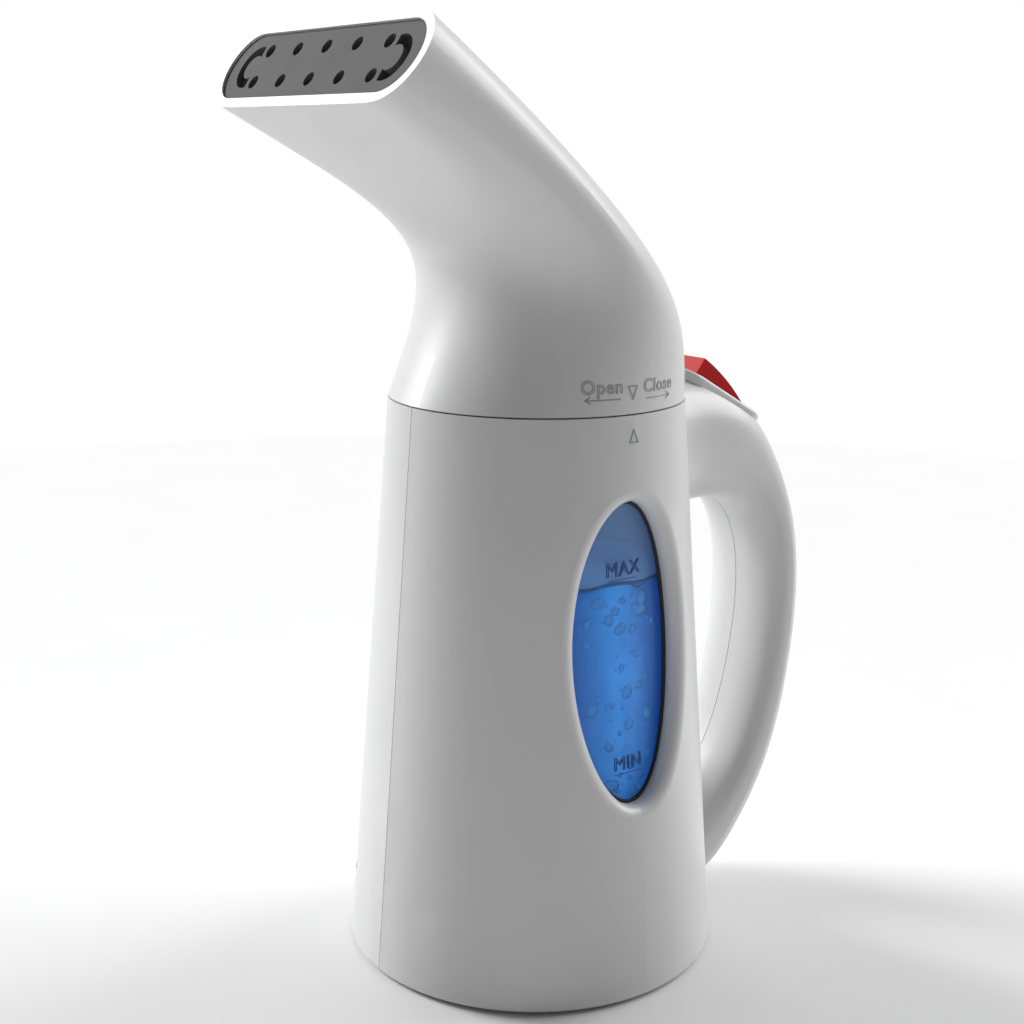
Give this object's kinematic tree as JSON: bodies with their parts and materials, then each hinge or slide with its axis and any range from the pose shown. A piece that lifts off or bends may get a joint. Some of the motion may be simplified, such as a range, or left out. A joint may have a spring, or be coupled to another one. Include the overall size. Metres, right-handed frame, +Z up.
{
  "type": "garment steamer",
  "caption": "Handheld garment steamer with a coned body, D-shaped handle, water level windows, a rocker switch and a twist-off bent steam head ending in a flat slotted mouth.",
  "frame": {"origin": "centre of the round base, on the surface it stands on", "axes": "+Z up, -Y toward the steam mouth, +Y toward the handle, +X toward the right-hand window"},
  "size_m": [0.1048, 0.1688, 0.2533],
  "materials": {
    "body_plastic": "satin",
    "head_plastic": "satin",
    "base_plastic": "fine texture",
    "foot_rubber": "matt",
    "black_rubber": "matt",
    "screw_steel": "plated",
    "terminal_plastic": "matt",
    "brass": "bright",
    "tank_clear": "clear tinted plastic",
    "silicone": "translucent silicone",
    "heater_alloy": "cast",
    "element_steel": "drawn tube",
    "thermostat_ceramic": "matt",
    "fuse_metal": "drawn",
    "shield_steel": "pressed sheet",
    "dome_plastic": "matt",
    "neck_plastic": "matt",
    "bezel_plastic": "satin",
    "housing_plastic": "matt",
    "wire_red": "insulated wire",
    "wire_white": "high temperature sleeve",
    "plate_grey": "fine texture",
    "rocker_red": "gloss"
  },
  "bodies": {
    "body": {"shell_right": "body_plastic", "shell_left": "body_plastic", "shell_screws": "screw_steel", "base_plate": "base_plastic", "base_screws": "screw_steel", "rubber_feet": "foot_rubber", "cord_bush": "black_rubber", "cord_clamp": "base_plastic", "clamp_screws": "screw_steel", "terminal_block": "terminal_plastic", "terminal_clamps": "brass", "terminal_screws": "screw_steel", "water_tank": "tank_clear", "tank_gasket": "silicone", "heater_gasket": "silicone", "heater_plate": "heater_alloy", "heating_element": "element_steel", "thermostat": "thermostat_ceramic", "thermostat_tabs": "brass", "thermal_fuse": "fuse_metal", "heat_shield": "shield_steel", "boiler_dome": "dome_plastic", "neck_ring": "neck_plastic", "switch_bezel": "bezel_plastic", "switch_housing": "housing_plastic", "switch_terminals": "brass", "switch_wires": "wire_red", "heater_wires": "wire_white"},
    "head": {"twist_ring": "neck_plastic", "head_seal": "silicone", "steam_baffle": "dome_plastic", "spout_shell": "head_plastic", "nozzle_plate": "plate_grey", "plate_gasket": "black_rubber"},
    "rocker": {"rocker": "rocker_red"}
  },
  "joints": [
    {"name": "head_twist", "type": "hinge", "parent": "body", "child": "head", "pos_m": [0, 0, 0.158], "axis": [0, 0, 1], "range_deg": [-30, 0]},
    {"name": "rocker_tilt", "type": "hinge", "parent": "body", "child": "rocker", "pos_m": [0, 0.06028, 0.14953], "axis": [1, 0, 0], "range_deg": [0, 14]}
  ]
}
